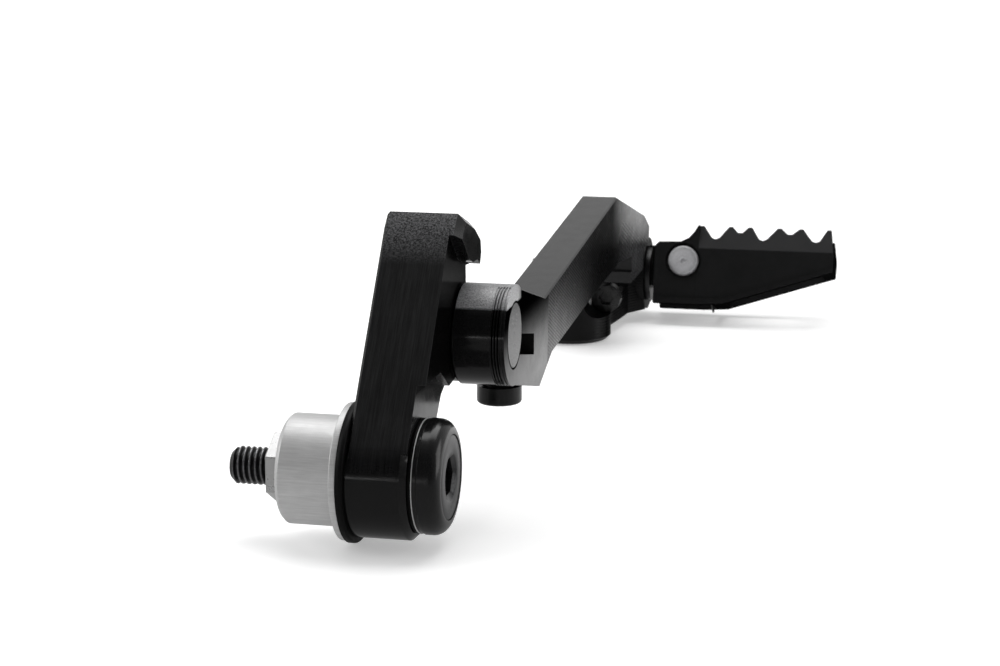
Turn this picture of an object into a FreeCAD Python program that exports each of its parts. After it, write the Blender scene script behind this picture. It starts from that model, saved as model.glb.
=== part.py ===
import FreeCAD, Part
import math
import os

import Sketcher
from FreeCAD import Placement, Rotation, Vector

# Folding foot peg on an adjustable lever.
# Frame: millimetres, +X outward along the pivot axis, +Y rearward along the
# lever, +Z up.  The origin is on the pivot axis, in the end face of the hex
# nose that seats against the machine.

doc = FreeCAD.newDocument("foot_peg")
sheet = doc.addObject("Spreadsheet::Sheet", "Dims")
dims = {}


def dim(name, value):
    """One driving dimension: a plain number cell with a word alias."""
    row = len(dims) + 1
    sheet.set(f"A{row}", name)
    sheet.set(f"B{row}", repr(float(value)))
    sheet.setAlias(f"B{row}", name)
    dims[name] = float(value)
    return name


# ---- driving dimensions -------------------------------------------------
# Suffixes: _rad radius, _in and _out the inner and outer X station,
# _flat size across flats, _cham chamfer, _round fillet, _half half width.
DRIVING = dict(
    # cutting tools: overrun past a face, and a depth that clears any piece
    over=1.0, through=60.0,
    # stations along the pivot axis
    thread_end=-9.0, nose_len=3.3, spacer_end=15.8, flange_end=17.3, seal_end=18.85,
    arm_in=18.9, boss_out=31.5, arm_out=33.3, ring_in=31.55, ring_out=32.3,
    shim_in=32.35, shim_out=32.5, cap_in=32.55, cap_neck=33.4, cap_seat=34.4, cap_out=38.0,
    bush_len=5.8, seal_gap=0.02,
    # radii and edges of the pivot group
    shank_rad=4.0, shank_relief=0.35, shank_hole=4.1, sleeve_rad=6.0, sleeve_hole=6.05,
    spacer_rad=11.6, flange_rad=14.4, seal_rad=14.8, boss_rad=13.5, bush_rad=8.0,
    ring_rad=11.9, ring_clear=0.3, shim_rad=12.0, cap_rad=12.1, cap_neck_rad=11.9,
    cap_recess=8.9, screw_head=8.8, nose_flat=13.0, socket_flat=7.0, socket_deep=3.2,
    tip_cham=0.9, spacer_cham=0.9, seal_round=0.5, cap_round=3.0, cap_neck_cham=0.15,
    # bevel on the arm's boss, its tool and the arm's other edges
    boss_cham=1.2, bevel_reach=3.0, bevel_over=0.5, bevel_from=236.0, bevel_sweep=222.0,
    lug_cham=1.6, arm_cham=0.6,
    # tilt clamp
    tilt_y=29.5, tilt_z=24.0, eye_rad=10.5, spindle_rad=7.2, spindle_bore=7.25,
    spindle_in=22.0, spindle_drill=13.0, spindle_cham=0.25, clamp_in=33.85, clamp_out=44.95,
    clamp_rad=11.0, bar_in=35.55, bar_cham=0.35, lug_out=35.9,
    spindle_sink=5.4, spindle_sink_deep=1.4, spindle_head_rad=5.2, spindle_head_h=1.35,
    spindle_socket_deep=1.1, spindle_screw_len=12.0, tilt_washer_rad=10.2, washer_gap=0.03,
    # grooves round the clamp
    groove_deep=0.3, groove_wide=0.36, groove_reach=0.4, groove_first=3.2,
    groove_pitch=0.62, groove_from=190.0, groove_sweep=158.0,
    # clamp screw, and the hexagon socket shared by the small screws
    pinch_x=39.2, pinch_y=40.0, pinch_seat=10.4, pinch_tip=28.0, pinch_drill=28.5,
    pinch_sink=5.3, pinch_round=0.7, sixmm_rad=3.0, sixmm_head=5.0, sixmm_head_h=4.0,
    sixmm_hole=3.03, small_socket=4.0, socket_part=0.6,
    # swivel
    swivel_x=24.2, swivel_y=206.0, barrel_rad=11.8, barrel_low=-14.5, barrel_top=4.7,
    barrel_cham=1.2, swivel_bore=6.05, swivel_floor=-11.0, swivel_rad=6.0, swivel_low=-10.0,
    swivel_gap=0.02, swivel_drill_rad=4.02, swivel_drill_low=-8.5, swivel_hole=4.05,
    swivel_head=5.6, swivel_head_h=2.2, swivel_tip=-8.0, swivel_washer_rad=10.6,
    pad_low=5.5, pad_top=8.6, neck_high=9.5,
    # screw in the carrier
    grip_x=34.4, grip_z=-2.6, grip_seat=210.5, grip_tip=230.0, grip_hole=2.52,
    grip_hole_start=206.0, grip_hole_end=232.0, grip_sink=4.6, grip_sink_start=190.0,
    grip_head_h=3.4, fivemm_rad=2.5, fivemm_head=4.3,
    # roll joint and carrier block
    roll_y=243.0, roll_z=-1.2, roll_tilt=16.5, block_rad=11.0, block_in=29.0,
    block_out=41.6, web_low=-11.4, roll_bore=6.05, roll_rad=6.0,
    # stub, in the peg's own rolled frame
    stub_recess=1.5, stub_gap=0.1, stub_drill=10.0, stub_flange_rad=8.4,
    stub_flange_end=1.5, tongue_start=0.5, tongue_low=-4.2, tongue_top=8.2,
    tongue_half=3.8, knuckle_rad=5.6, stub_head_h=3.0, stub_screw_len=9.0,
    stub_washer_rad=7.6, stub_washer_hole=2.6, stub_washer_thick=0.9,
    # hinge and peg, in the rolled frame
    hinge_x=53.5, hinge_z=3.2, hinge_hole=3.05, bush_out=4.2,
    pin_rad=3.0, pin_start=-8.2, pin_end=11.0, pin_head=4.55, pin_head_end=-10.5,
    pin_head_seat=-8.1, pin_round=0.7, dimple_rad=0.7, dimple_floor=-10.1,
    pin_sink=5.5, pin_sink_deep=1.2, pin_sink_len=4.0,
    clip_rad=4.4, clip_start=0.05, clip_end=0.75, clip_slot_half=1.9,
    ear_half=9.3, gap_half=6.2, rail_half=9.6, lip_half=10.1, hollow_half=6.0,
    hollow_in=66.8, hollow_out=95.6, clevis_end=63.0, bridge_top=6.9, tip_top=8.4,
    rear_row_in=5.9, rear_row_top=12.1,
    # torsion spring: coil radius is to the wire's centre, lead is per turn
    wire_rad=0.4, coil_rad=4.7, spring_gap=0.04, spring_lead=0.86, spring_turns=1.211,
    spring_start=44.0, spring_foot=-11.0,
)
for dim_name, dim_value in DRIVING.items():
    dim(dim_name, dim_value)

# Axis places: the two coordinates across each axis, in X, Y, Z order.
TILT = ("tilt_y", "tilt_z")
PINCH = ("pinch_x", "pinch_y")
SWIVEL = ("swivel_x", "swivel_y")
GRIP = ("grip_x", "grip_z")
ROLL = ("roll_y", "roll_z")
HINGE = ("hinge_x", "hinge_z")


# ---- solids -------------------------------------------------------------
TURN = {"x": Rotation(Vector(0, 1, 0), 90), "y": Rotation(Vector(1, 0, 0), -90), "z": Rotation()}


def bind(obj, prop, expr):
    """Binds a property to an expression written with bare dimension names."""
    for mark in "()-":
        expr = expr.replace(mark, f" {mark} ")
    words = ["Dims." + word if word in dims else word for word in expr.split()]
    obj.setExpression(prop, " ".join(words))


def lay(solid, start, end, axis, at):
    """Lays a solid of revolution or prism from start to end along an axis."""
    bind(solid, "Height", f"({end}) - ({start})")
    solid.Placement = Placement(Vector(0, 0, 0), TURN[axis])
    bind(solid, f"Placement.Base.{axis}", start)
    for other, place in zip("xyz".replace(axis, ""), at):
        bind(solid, f"Placement.Base.{other}", place)
    return solid


def cyl(name, rad, start, end, axis="x", at=()):
    solid = doc.addObject("Part::Cylinder", name)
    bind(solid, "Radius", rad)
    return lay(solid, start, end, axis, at)


def sector(name, rad, start, end, first_angle, sweep, at=()):
    """Part of a cylinder along X, turned to its first angle."""
    solid = cyl(name, rad, start, end, "x", at)
    solid.Angle = sweep
    solid.Placement.Rotation = Rotation(Vector(1, 0, 0), first_angle).multiply(TURN["x"])
    return solid


def prism(name, flat, start, end, axis="x", at=()):
    """Hexagonal bar, sized across flats."""
    solid = doc.addObject("Part::Prism", name)
    solid.Polygon = 6
    bind(solid, "Circumradius", f"({flat}) / 1.7320508")
    return lay(solid, start, end, axis, at)


def box(name, *spans):
    """Box from its (start, end) spans along X, Y and Z."""
    solid = doc.addObject("Part::Box", name)
    for prop, axis, (start, end) in zip(("Length", "Width", "Height"), "xyz", spans):
        bind(solid, prop, f"({end}) - ({start})")
        bind(solid, f"Placement.Base.{axis}", start)
    return solid


def fuse(name, parts):
    joined = doc.addObject("Part::MultiFuse", name)
    joined.Shapes = parts
    joined.Refine = True
    return joined


def cut(name, base, *tools):
    result = doc.addObject("Part::Cut", name)
    result.Base = base
    result.Tool = tools[0] if len(tools) == 1 else fuse(name + "_tool", list(tools))
    result.Refine = True
    return result


def ring(name, rad, hole, start, end, axis="x", at=()):
    """Cylinder with a through hole."""
    return cut(name, cyl(name + "_disc", rad, start, end, axis, at),
               cyl(name + "_hole", hole, f"{start} - over", f"{end} + over", axis, at))


def cap_screw(name, rad, head_rad, head_h, seat, tip, axis, at, head_after=False):
    """Socket head screw; its head lies before the seat along the axis, or after it."""
    if head_after:
        head_span = (seat, f"{seat} + {head_h}")
        shank_span = (tip, seat)
        socket_span = (f"{seat} + {head_h} - {head_h} * socket_part", f"{seat} + {head_h} + over")
    else:
        head_span = (f"{seat} - {head_h}", seat)
        shank_span = (seat, tip)
        socket_span = (f"{seat} - {head_h} - over", f"{seat} - {head_h} + {head_h} * socket_part")
    blank = fuse(name + "_blank", [cyl(name + "_head", head_rad, *head_span, axis, at),
                                   cyl(name + "_shank", rad, *shank_span, axis, at)])
    return cut(name, blank, prism(name + "_socket", "small_socket", *socket_span, axis, at))


def edge_finish(kind, name, base, test, size):
    """Fillet or chamfer on the edges of base that pass a geometric test."""
    doc.recompute()
    finish = doc.addObject("Part::" + kind, name)
    finish.Base = base
    picked = [i + 1 for i, edge in enumerate(base.Shape.Edges) if test(edge)]
    if not picked:
        raise RuntimeError("no edges found for " + name)
    finish.Edges = [(i, dims[size], dims[size]) for i in picked]
    doc.recompute()
    return finish


def circle_at(axis, station, rad):
    """Edge test: a circle of this radius centred at this station."""
    def test(edge):
        curve = edge.Curve
        return (hasattr(curve, "Radius") and abs(curve.Radius - dims[rad]) < 0.02
                and abs(getattr(curve.Center, axis) - dims[station]) < 0.02)
    return test


def rolled(obj):
    """Places a piece that is drawn level, in the rolled frame, about the roll axis."""
    base = Vector(0, dims["roll_y"], dims["roll_z"])
    obj.Placement = Placement(base, Rotation(Vector(1, 0, 0), -dims["roll_tilt"]))
    bind(obj, "Placement.Base.y", "roll_y")
    bind(obj, "Placement.Base.z", "roll_z")
    bind(obj, "Placement.Rotation.Angle", "-roll_tilt")
    return obj


# ---- sketched bodies ----------------------------------------------------
LETTERS = "abcdefghijklmnopqrstuvwxyzABCDEFGHIJKLMNOPQRSTUVWXYZ"


def new_body(name):
    return doc.addObject("PartDesign::Body", name)


def new_sketch(body, name, plane, offset):
    """Empty sketch on an origin plane, moved along the plane's normal."""
    sketch = body.newObject("Sketcher::SketchObject", name)
    support = next(f for f in body.Origin.OriginFeatures if f.Role == plane + "_Plane")
    sketch.AttachmentSupport = [(support, "")]
    sketch.MapMode = "FlatFace"
    if offset is not None:
        bind(sketch, "AttachmentOffset.Base.z", offset)
    return sketch


def constrain(sketch, value, alias, kind, *where):
    """Dimensional constraint driven by a sheet cell."""
    index = sketch.addConstraint(Sketcher.Constraint(kind, *where, value))
    bind(sketch, f"Constraints[{index}]", alias)


def polygon(body, name, plane, points, offset=None):
    """Closed polygon, every corner driven by two sheet cells."""
    sketch = new_sketch(body, name, plane, offset)
    count = len(points)
    for i, start in enumerate(points):
        end = points[(i + 1) % count]
        sketch.addGeometry(Part.LineSegment(Vector(*start, 0), Vector(*end, 0)), False)
    for i in range(count):
        sketch.addConstraint(Sketcher.Constraint("Coincident", i, 2, (i + 1) % count, 1))
    for i, corner in enumerate(points):
        for key, kind, value in zip("uv", ("DistanceX", "DistanceY"), corner):
            cell = dim(f"{name.lower()}_p{LETTERS[i]}_{key}", value)
            if abs(value) > 1e-3:
                constrain(sketch, value, cell, kind, -1, 1, i, 1)
            else:
                # a corner on an axis is held just off it, by a fixed distance
                sketch.addConstraint(Sketcher.Constraint(kind, -1, 1, i, 1, 1e-4))
    return sketch


def circle(body, name, plane, rad, centre=None, offset=None):
    """Circle about the origin, or about a centre given by two dimensions."""
    sketch = new_sketch(body, name, plane, offset)
    middle = [dims[alias] for alias in centre] if centre else [0.0, 0.0]
    sketch.addGeometry(Part.Circle(Vector(*middle, 0), Vector(0, 0, 1), dims[rad]), False)
    constrain(sketch, dims[rad], rad, "Radius", 0)
    if centre:
        for kind, alias in zip(("DistanceX", "DistanceY"), centre):
            constrain(sketch, dims[alias], alias, kind, -1, 1, 0, 3)
    else:
        sketch.addConstraint(Sketcher.Constraint("Coincident", 0, 3, -1, 1))
    return sketch


def pad(body, sketch, length, midplane=False):
    feature = body.newObject("PartDesign::Pad", sketch.Name + "Pad")
    feature.Profile = sketch
    bind(feature, "Length", length)
    feature.Midplane = midplane
    doc.recompute()


def pocket(body, sketch, depth="through", reverse=True):
    """Pocket that must take material away; it is turned round if it takes none."""
    doc.recompute()
    limit = body.Shape.Volume - 1e-6
    feature = body.newObject("PartDesign::Pocket", sketch.Name + "Cut")
    feature.Profile = sketch
    bind(feature, "Length", depth)
    feature.Reversed = reverse
    doc.recompute()
    if body.Shape.Volume > limit:
        feature.Reversed = not reverse
        doc.recompute()
    if body.Shape.Volume > limit:
        raise RuntimeError("pocket cuts nothing: " + sketch.Name)


def rectangle(u_start, u_end, v_start, v_end):
    return [(u_start, v_start), (u_end, v_start), (u_end, v_end), (u_start, v_end)]


# ---- pivot group --------------------------------------------------------
def pivot_screw():
    """M8 shank, wide low head flush in the cap, hexagon socket."""
    shank = fuse("pivot_shank", [
        cyl("thread_part", "shank_rad", "thread_end", "0"),
        cyl("plain_part", "shank_rad - shank_relief", "0", "cap_seat")])
    blank = fuse("pivot_screw_blank", [shank, cyl("pivot_head", "screw_head", "cap_seat", "cap_out")])
    socket = prism("pivot_socket", "socket_flat", "cap_out - socket_deep", "cap_out + over")
    return edge_finish("Chamfer", "pivot_screw", cut("pivot_screw_cut", blank, socket),
                       circle_at("x", "thread_end", "shank_rad"), "tip_cham")


def pivot_sleeve():
    """Sleeve with the hexagonal nose; the arm turns on its tube."""
    blank = fuse("sleeve_blank", [prism("nose", "nose_flat", "0", "nose_len"),
                                  cyl("tube", "sleeve_rad", "nose_len", "cap_in")])
    return cut("pivot_sleeve", blank, cyl("sleeve_bore", "shank_hole", "-over", "cap_in + over"))


def flanged_spacer():
    """Spacer over the sleeve, its flange at the outer end."""
    blank = fuse("spacer_blank", [cyl("spacer_tube", "spacer_rad", "nose_len", "spacer_end"),
                                  cyl("spacer_flange", "flange_rad", "spacer_end", "flange_end")])
    bore = cyl("spacer_bore", "sleeve_hole", "nose_len - over", "flange_end + over")
    return edge_finish("Chamfer", "flanged_spacer", cut("spacer_cut", blank, bore),
                       circle_at("x", "nose_len", "spacer_rad"), "spacer_cham")


def inner_seal():
    disc = ring("seal_ring", "seal_rad", "sleeve_hole", "flange_end + seal_gap", "seal_end")
    return edge_finish("Fillet", "inner_seal", disc,
                       circle_at("x", "seal_end", "seal_rad"), "seal_round")


def pivot_bushes():
    """Two bronze bushes pressed in the arm's boss."""
    pair = doc.addObject("Part::Compound", "pivot_bushes")
    pair.Links = [
        ring("inner_bush", "bush_rad", "sleeve_hole", "arm_in", "arm_in + bush_len"),
        ring("outer_bush", "bush_rad", "sleeve_hole", "boss_out - bush_len", "boss_out")]
    return pair


def outer_seal():
    return ring("outer_seal", "ring_rad", "sleeve_rad + ring_clear", "ring_in", "ring_out")


def shim_washer():
    return ring("shim_washer", "shim_rad", "sleeve_hole", "shim_in", "shim_out")


def pivot_cap():
    """Recessed cap that takes the pivot screw's head."""
    blank = fuse("cap_blank", [cyl("cap_neck_disc", "cap_neck_rad", "cap_in", "cap_neck"),
                               cyl("cap_disc", "cap_rad", "cap_neck", "cap_out")])
    cap = cut("cap_cut", blank,
              cyl("cap_recess_hole", "cap_recess", "cap_seat", "cap_out + over"),
              cyl("cap_bore", "shank_hole", "cap_in - over", "cap_seat + over"))
    cap = edge_finish("Fillet", "cap_rounded", cap,
                      circle_at("x", "cap_out", "cap_rad"), "cap_round")
    return edge_finish("Chamfer", "pivot_cap", cap,
                       circle_at("x", "cap_neck", "cap_rad"), "cap_neck_cham")


# ---- pivot arm ----------------------------------------------------------
# Outline points are (Y, Z).  The straight front edge leans from foot to head.
FRONT_FOOT = (-10.9, 8.0)
FRONT_HEAD = (18.9, 48.6)
UPPER_Z = 19.6  # lower edge of the thicker upper plate
ARM_BOTTOM = [(-12.9, 0.0), (-9.0, -9.6), (0.0, -13.0), (9.2, -8.6), (12.4, 3.0),
              (13.2, 8.5), (17.5, 13.0)]
ARM_REAR = [(24.0, 15.6), (36.5, 17.0), (39.2, 24.0), (37.0, 30.5), (33.2, 33.6),
            (33.0, 38.3), (36.0, 38.0)]
LUG_BOTTOM = [(18.0, 47.3), (22.6, 43.6), (25.4, 41.0), (29.0, 39.7), (33.0, 39.6), (35.6, 38.2)]
LUG_TOP = [(36.8, 40.5), (35.7, 45.5), (31.6, 48.0), (21.9, 51.3), FRONT_HEAD]


def arm_body():
    """Plate with boss, eye for the tilt spindle and a hooked stop lug at the top."""
    arm = new_body("PivotArmBody")
    plate = [FRONT_FOOT] + ARM_BOTTOM + ARM_REAR + LUG_TOP
    pad(arm, polygon(arm, "ArmPlate", "YZ", plate, "arm_in"), "boss_out - arm_in")
    pad(arm, circle(arm, "ArmBoss", "YZ", "boss_rad", None, "arm_in"), "boss_out - arm_in")
    pad(arm, circle(arm, "ArmEye", "YZ", "eye_rad", TILT, "arm_in"), "arm_out - arm_in")

    # thicker upper part of the plate, its first corner on the front edge
    rise = (UPPER_Z - FRONT_FOOT[1]) / (FRONT_HEAD[1] - FRONT_FOOT[1])
    front_y = FRONT_FOOT[0] + rise * (FRONT_HEAD[0] - FRONT_FOOT[0])
    upper = [(front_y, UPPER_Z), (10.0, UPPER_Z), (17.5, 15.0)] + ARM_REAR + LUG_TOP
    pad(arm, polygon(arm, "ArmUpper", "YZ", upper, "boss_out - over"), "arm_out - boss_out + over")

    # stop lug, standing out over the tilt clamp
    pad(arm, polygon(arm, "ArmLug", "YZ", LUG_BOTTOM + LUG_TOP, "arm_out - over"),
        "lug_out - arm_out + over")

    # bush seat, spindle seat, screw hole and its counterbore
    pocket(arm, circle(arm, "ArmBore", "YZ", "bush_rad", None, "arm_in - over"))
    pocket(arm, circle(arm, "ArmSpindleSeat", "YZ", "spindle_rad", TILT, "spindle_in"))
    pocket(arm, circle(arm, "ArmScrewHole", "YZ", "sixmm_hole", TILT, "arm_in - over"),
           "spindle_in - arm_in + 2 * over")
    pocket(arm, circle(arm, "ArmScrewSink", "YZ", "spindle_sink", TILT, "arm_in - over"),
           "spindle_sink_deep + over")
    doc.recompute()
    return arm


def boss_bevel():
    """Cutting tool for the bevel round the free part of the boss's outer edge."""
    start, end = "boss_out - boss_cham", "boss_out + bevel_over"
    band = sector("bevel_band", "boss_rad + bevel_reach", start, end,
                  dims["bevel_from"], dims["bevel_sweep"])
    cone = doc.addObject("Part::Cone", "bevel_cone")
    bind(cone, "Radius1", "boss_rad")
    bind(cone, "Radius2", "boss_rad - boss_cham - bevel_over")
    return cut("boss_bevel", band, lay(cone, start, end, "x", ()))


def lug_edge(edge):
    """Edges along the top of the lug's outer face."""
    bounds = edge.BoundBox
    return (bounds.XLength < 0.01 and abs(bounds.XMin - dims["lug_out"]) < 0.01
            and bounds.ZMin > 45.0)


def arm_inner_edge(edge):
    """Top edges and the long front edge of the arm's inner face."""
    bounds = edge.BoundBox
    flat = bounds.XLength < 0.01 and abs(bounds.XMin - dims["arm_in"]) < 0.01
    top = bounds.YMin > 18.8 and bounds.ZMin > 44.9
    front = bounds.ZLength > 30 and bounds.YMax < 19.0
    return flat and (top or front)


def pivot_arm():
    arm = cut("arm_bevelled", arm_body(), boss_bevel())
    arm = edge_finish("Chamfer", "arm_lug_chamfered", arm, lug_edge, "lug_cham")
    return edge_finish("Chamfer", "pivot_arm", arm, arm_inner_edge, "arm_cham")


# ---- tilt joint ---------------------------------------------------------
def tilt_spindle():
    blank = cyl("spindle_blank", "spindle_rad", "spindle_in", "clamp_out", "x", TILT)
    drill = cyl("spindle_drilling", "sixmm_rad", "spindle_in - over",
                "spindle_in + spindle_drill", "x", TILT)
    return edge_finish("Chamfer", "tilt_spindle", cut("spindle_cut", blank, drill),
                       circle_at("x", "clamp_out", "spindle_rad"), "spindle_cham")


def spindle_screw():
    """Low head screw from the arm's inner face into the spindle."""
    seat = "arm_in + spindle_head_h"
    blank = fuse("spindle_screw_blank", [
        cyl("spindle_screw_head", "spindle_head_rad", "arm_in", seat, "x", TILT),
        cyl("spindle_screw_shank", "sixmm_rad", seat, "spindle_in + spindle_screw_len",
            "x", TILT)])
    socket = prism("spindle_screw_socket", "small_socket", "arm_in - over",
                   "arm_in + spindle_socket_deep", "x", TILT)
    return cut("spindle_screw", blank, socket)


def tilt_washer():
    """Friction washer between arm and clamp."""
    return ring("tilt_washer", "tilt_washer_rad", "spindle_bore",
                "arm_out + washer_gap", "clamp_in - washer_gap", "x", TILT)


# ---- link arm -----------------------------------------------------------
LINK_BAR = [  # (Y, Z)
    (30.5, 34.55), (63.0, 25.9), (161.5, 34.6), (212.2, 21.8), (221.5, 17.4), (220.6, 12.6),
    (208.0, 11.6), (170.0, 15.4), (133.0, 14.3), (70.0, 11.0), (56.4, 6.4), (28.0, 13.3)]
LINK_PAD = [  # (X, Y)
    (12.4, 206.0), (14.4, 199.0), (19.5, 194.8), (24.2, 193.8), (36.0, 190.0), (44.5, 190.0),
    (44.5, 212.0), (36.0, 217.5), (24.2, 218.2), (17.0, 215.6), (13.4, 211.0)]
LINK_SLOT = [(33.0, 18.95), (50.1, 15.25), (50.1, 20.1), (33.0, 23.65)]  # (Y, Z)
GROOVE_COUNT = 5


def link_body():
    link = new_body("LinkArmBody")
    pad(link, polygon(link, "LinkBar", "YZ", LINK_BAR, "bar_in"), "clamp_out - bar_in")
    pad(link, circle(link, "LinkClamp", "YZ", "clamp_rad", TILT, "clamp_in"),
        "clamp_out - clamp_in")
    # swivel pad at the far end, reaching inward over the barrel
    pad(link, polygon(link, "LinkPad", "XY", LINK_PAD, "pad_low"), "pad_top - pad_low")
    # neck that joins the pad to the bar
    neck = rectangle(35.6, 44.5, 192.0, 213.0)
    pad(link, polygon(link, "LinkNeck", "XY", neck, "pad_low"), "neck_high")
    # clamp bore and slot, clamp screw hole and its counterbore, swivel screw hole
    pocket(link, circle(link, "LinkBore", "YZ", "spindle_bore", TILT, "clamp_in - over"))
    pocket(link, polygon(link, "LinkSlot", "YZ", LINK_SLOT, "clamp_in - over"))
    pocket(link, circle(link, "LinkPinchHole", "XY", "sixmm_hole", PINCH, "0"), "pinch_drill")
    pocket(link, circle(link, "LinkPinchSink", "XY", "pinch_sink", PINCH, "0"), "pinch_seat")
    pocket(link, circle(link, "LinkSwivelHole", "XY", "swivel_hole", SWIVEL, "0"))
    doc.recompute()
    return link


def clamp_groove(i):
    """Cutting tool for one shallow groove round the clamp."""
    start = f"clamp_out - groove_first + {i} * groove_pitch"
    band = sector(f"groove_band{i}", "clamp_rad + groove_reach", start, start + " + groove_wide",
                  dims["groove_from"], dims["groove_sweep"], TILT)
    core = cyl(f"groove_core{i}", "clamp_rad - groove_deep", start + " - over",
               start + " + 2 * over", "x", TILT)
    return cut(f"groove{i}", band, core)


def link_outer_edge(edge):
    """Long straight edges of the bar's outer face."""
    bounds = edge.BoundBox
    if bounds.XLength > 0.01 or abs(bounds.XMin - dims["clamp_out"]) > 0.01:
        return False
    if hasattr(edge.Curve, "Radius"):
        return False
    upper = (bounds.YMax > 62 and bounds.YLength > 5
             and bounds.ZMax > 17.0 and bounds.ZMin > 12.0)
    lower = bounds.YLength > 55 and bounds.ZMax < 16
    return upper or lower


def link_arm():
    link = link_body()
    for i, groove in enumerate([clamp_groove(i) for i in range(GROOVE_COUNT)]):
        link = cut(f"link_grooved{i}", link, groove)
    return edge_finish("Chamfer", "link_arm", link, link_outer_edge, "bar_cham")


def link_clamp_screw():
    """Screw across the clamp's slot, its head at the bottom."""
    screw = cap_screw("clamp_screw_cut", "sixmm_rad", "sixmm_head", "sixmm_head_h",
                      "pinch_seat", "pinch_tip", "z", PINCH)
    dim("pinch_head_low", dims["pinch_seat"] - dims["sixmm_head_h"])
    return edge_finish("Fillet", "link_clamp_screw", screw,
                       circle_at("z", "pinch_head_low", "sixmm_head"), "pinch_round")


# ---- swivel -------------------------------------------------------------
def swivel_screw():
    return cap_screw("swivel_screw", "shank_rad", "swivel_head", "swivel_head_h",
                     "pad_top", "swivel_tip", "z", SWIVEL, head_after=True)


def swivel_spindle():
    """Spindle in the barrel, drilled from above and closed below."""
    return cut("swivel_spindle",
               cyl("swivel_blank", "swivel_rad", "swivel_low", "pad_low - swivel_gap",
                   "z", SWIVEL),
               cyl("swivel_drilling", "swivel_drill_rad", "swivel_drill_low", "pad_low + over",
                   "z", SWIVEL))


def swivel_washer():
    return ring("swivel_washer", "swivel_washer_rad", "swivel_bore",
                "barrel_top + washer_gap", "pad_low - washer_gap", "z", SWIVEL)


# ---- peg carrier --------------------------------------------------------
CARRIER_WEB = [  # (X, Y)
    (14.0, 211.0), (18.0, 226.0), (29.0, 234.6), (29.0, 250.0), (41.6, 250.0), (41.6, 236.0),
    (37.5, 229.0), (36.8, 222.0), (35.6, 212.0), (33.0, 206.0), (24.2, 200.0), (16.0, 204.0)]


def peg_carrier():
    """Upright barrel, a web that sweeps from it, and the round block of the roll joint."""
    body = new_body("CarrierBody")
    pad(body, circle(body, "Barrel", "XY", "barrel_rad", SWIVEL, "barrel_low"),
        "barrel_top - barrel_low")
    pad(body, polygon(body, "Web", "XY", CARRIER_WEB, "web_low"), "barrel_top - web_low")
    pad(body, circle(body, "Block", "YZ", "block_rad", ROLL, "block_in"), "block_out - block_in")
    pocket(body, circle(body, "SwivelBore", "XY", "swivel_bore", SWIVEL, "swivel_floor"))
    pocket(body, circle(body, "RollBore", "YZ", "roll_bore", ROLL, "block_in - over"))
    doc.recompute()
    # sunk screw that pinches the barrel
    carrier = cut("carrier_cut", body,
                  cyl("grip_hole_tool", "grip_hole", "grip_hole_start", "grip_hole_end",
                      "y", GRIP),
                  cyl("grip_sink_tool", "grip_sink", "grip_sink_start", "grip_seat", "y", GRIP))
    return edge_finish("Chamfer", "peg_carrier", carrier,
                       circle_at("z", "barrel_low", "barrel_rad"), "barrel_cham")


def carrier_screw():
    return cap_screw("carrier_screw", "fivemm_rad", "fivemm_head", "grip_head_h",
                     "grip_seat", "grip_tip", "y", GRIP)


# ---- rolled parts: stub and hinge bush ----------------------------------
def peg_stub():
    """Shaft in the block, thin flange, tongue between the ears."""
    tongue = ("-tongue_half", "tongue_half")
    flange_start = "block_out + stub_gap"
    blank = fuse("stub_blank", [
        cyl("stub_shaft", "roll_rad", "block_in + stub_recess", flange_start),
        cyl("stub_flange", "stub_flange_rad", flange_start, "block_out + stub_flange_end"),
        box("stub_tongue", ("block_out + tongue_start", "hinge_x"), tongue,
            ("tongue_low", "tongue_top")),
        cyl("stub_knuckle", "knuckle_rad", *tongue, "y", HINGE)])
    return rolled(cut(
        "peg_stub", blank,
        cyl("stub_eye", "bush_out", "-tongue_half - over", "tongue_half + over", "y", HINGE),
        cyl("stub_drilling", "fivemm_rad", "block_in", "block_in + stub_drill")))


def hinge_bush():
    return rolled(ring("hinge_bush", "bush_out", "hinge_hole",
                       "-tongue_half", "tongue_half", "y", HINGE))


def stub_screw():
    return rolled(cap_screw("stub_screw", "fivemm_rad", "fivemm_head", "stub_head_h",
                            "block_in - stub_washer_thick", "block_in + stub_screw_len",
                            "x", ("0", "0")))


def stub_washer():
    """Washer under the stub screw's head, bridging the block's bore."""
    return rolled(ring("stub_washer", "stub_washer_rad", "stub_washer_hole",
                       "block_in - stub_washer_thick", "block_in"))


# ---- peg ----------------------------------------------------------------
PEG_X = 25.2            # the outlines' X is counted from here
RAIL_START = 32.8       # where the full-width rails begin
PEG_CLEAR = (18.0, 75.0)  # X beyond both ends of the peg


def crest(x, half=0.55):
    """Flat top of one tooth."""
    return [(x - half, 14.3), (x + half, 14.3)]


def deep_valley(x):
    return [(x - 1.2, 10.7), (x, 10.2), (x + 1.2, 10.7)]


def shallow_valley(x):
    return [(x - 0.7, 12.5), (x + 0.7, 12.5)]


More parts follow.
